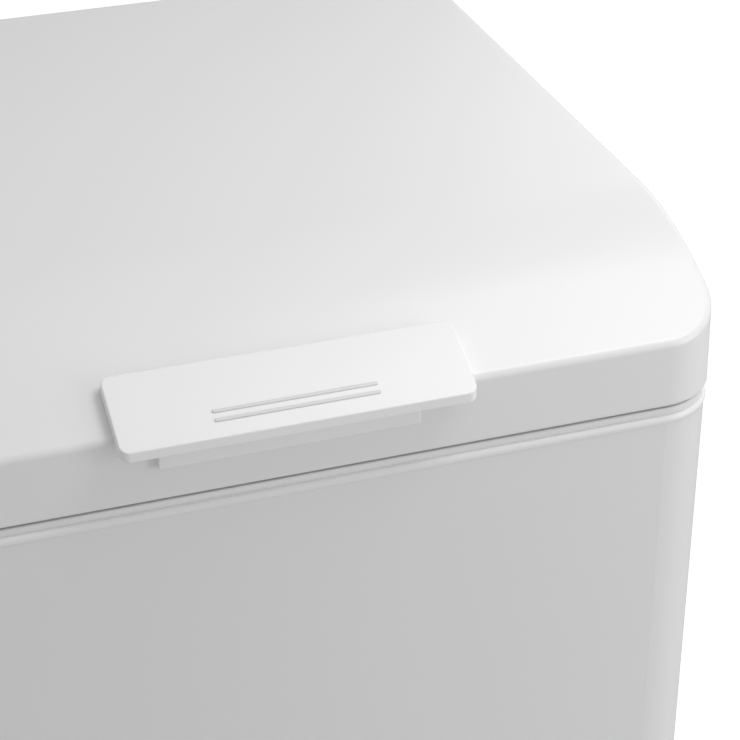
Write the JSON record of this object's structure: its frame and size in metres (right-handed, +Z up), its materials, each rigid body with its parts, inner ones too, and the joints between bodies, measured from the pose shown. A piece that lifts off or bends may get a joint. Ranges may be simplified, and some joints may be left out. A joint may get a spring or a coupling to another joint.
{
  "type": "chest freezer",
  "caption": "Small upright-walled chest freezer with a hinged lid that slopes at the front, a flat lift plate on the slope, a rolled rim, a sliding wire basket, rear rollers and levelling feet.",
  "frame": {"origin": "middle of the footprint box, on the floor", "axes": "+Z up, front towards -Y, machine bay towards +X"},
  "size_m": [0.56, 0.591, 0.85],
  "materials": {
    "white_enamel": "smooth gloss white enamel on steel sheet",
    "white_lid": "smooth gloss white",
    "rim_white": "satin white extrusion",
    "liner_white": "embossed coated aluminium, pale",
    "lid_liner_white": "satin white vacuum-formed sheet",
    "gasket_grey": "soft grey vinyl",
    "foam": "rigid foam",
    "galvanised": "galvanised sheet",
    "compressor_black": "black paint",
    "copper": "drawn copper tube",
    "aluminium_tube": "plain",
    "grey_rubber": "matt",
    "zinc": "bright zinc",
    "hinge_white": "white powder coat",
    "panel_grey": "fine satin",
    "control_white": "moulded",
    "black_plastic": "moulded",
    "hose_grey": "moulded tube",
    "lamp_lens": "clear lenses",
    "basket_wire": "white plastic-coated wire",
    "grip_grey": "moulded"
  },
  "bodies": {
    "cabinet": {"cabinet_wrapper": "white_enamel", "rear_panel": "galvanised", "side_grille": "panel_grey", "service_cover": "galvanised", "base_pan": "galvanised", "rim_frame": "rim_white", "inner_liner": "liner_white", "foam_insulation": "foam", "machine_bay_panel": "galvanised", "drain_tube": "hose_grey", "rear_spacers": "black_plastic", "cord_gland": "black_plastic", "evaporator_coil": "aluminium_tube", "condenser_coil": "copper", "compressor": "compressor_black", "compressor_foot": "compressor_black", "compressor_grommets": "grey_rubber", "compressor_bolts": "zinc", "start_relay_cover": "black_plastic", "filter_drier": "copper", "discharge_pipe": "copper", "suction_pipe": "copper", "hinge_bracket_left": "hinge_white", "hinge_bracket_right": "hinge_white", "bracket_screws": "zinc", "hinge_pins": "zinc", "hinge_springs": "zinc", "roller_bracket_left": "hinge_white", "roller_bracket_right": "hinge_white", "roller_axles": "zinc", "control_panel": "panel_grey", "indicator_lamps": "lamp_lens", "thermostat_body": "black_plastic"},
    "lid": {"lid_shell": "white_lid", "lid_liner": "lid_liner_white", "lid_foam": "foam", "lid_gasket": "gasket_grey", "handle_plate": "white_lid", "handle_base": "white_lid", "handle_screws": "zinc", "hinge_leaf_left": "hinge_white", "hinge_leaf_right": "hinge_white", "leaf_screws": "zinc"},
    "knob": {"thermostat_knob": "control_white", "thermostat_shaft": "black_plastic"},
    "switch": {"fast_freeze_switch": "control_white"},
    "basket": {"basket_floor": "basket_wire", "basket_front": "basket_wire", "basket_back": "basket_wire", "basket_left": "basket_wire", "basket_right": "basket_wire", "basket_rim": "basket_wire", "basket_grips": "grip_grey"},
    "drain_plug": {"drain_plug": "control_white"},
    "drain_cap": {"drain_cap": "control_white"},
    "foot_left": {"levelling_foot_left": "black_plastic"},
    "foot_right": {"levelling_foot_right": "black_plastic"},
    "roller_left": {"roller_left": "black_plastic"},
    "roller_right": {"roller_right": "black_plastic"}
  },
  "joints": [
    {"name": "lid_hinge", "type": "hinge", "parent": "cabinet", "child": "lid", "pos_m": [0, 0.2865, 0.7725], "axis": [-1, 0, 0], "range_deg": [0, 78], "stiffness_Nm_per_rad": 3, "springref_deg": 100.27},
    {"name": "thermostat_turn", "type": "hinge", "parent": "cabinet", "child": "knob", "pos_m": [0.178, -0.284, 0.09], "axis": [0, 1, 0], "range_deg": [0, 300]},
    {"name": "fast_freeze_rock", "type": "hinge", "parent": "cabinet", "child": "switch", "pos_m": [0.212, -0.2797, 0.0825], "axis": [-1, 0, 0], "range_deg": [0, 24]},
    {"name": "basket_slide", "type": "slide", "parent": "cabinet", "child": "basket", "axis": [-1, 0, 0], "range_m": [0, 0.212]},
    {"name": "drain_plug_pull", "type": "slide", "parent": "cabinet", "child": "drain_plug", "axis": [0, 0, 1], "range_m": [0, 0.05]},
    {"name": "drain_cap_pull", "type": "slide", "parent": "cabinet", "child": "drain_cap", "axis": [0, -1, 0], "range_m": [0, 0.025]},
    {"name": "foot_turn_left", "type": "hinge", "parent": "cabinet", "child": "foot_left", "pos_m": [-0.235, -0.235, 0.02], "axis": [0, 0, 1], "continuous": true},
    {"name": "foot_turn_right", "type": "hinge", "parent": "cabinet", "child": "foot_right", "pos_m": [0.235, -0.235, 0.02], "axis": [0, 0, 1], "continuous": true},
    {"name": "roller_spin_left", "type": "hinge", "parent": "cabinet", "child": "roller_left", "pos_m": [-0.2, 0.235, 0.0125], "axis": [1, 0, 0], "continuous": true},
    {"name": "roller_spin_right", "type": "hinge", "parent": "cabinet", "child": "roller_right", "pos_m": [0.2, 0.235, 0.0125], "axis": [1, 0, 0], "continuous": true}
  ]
}
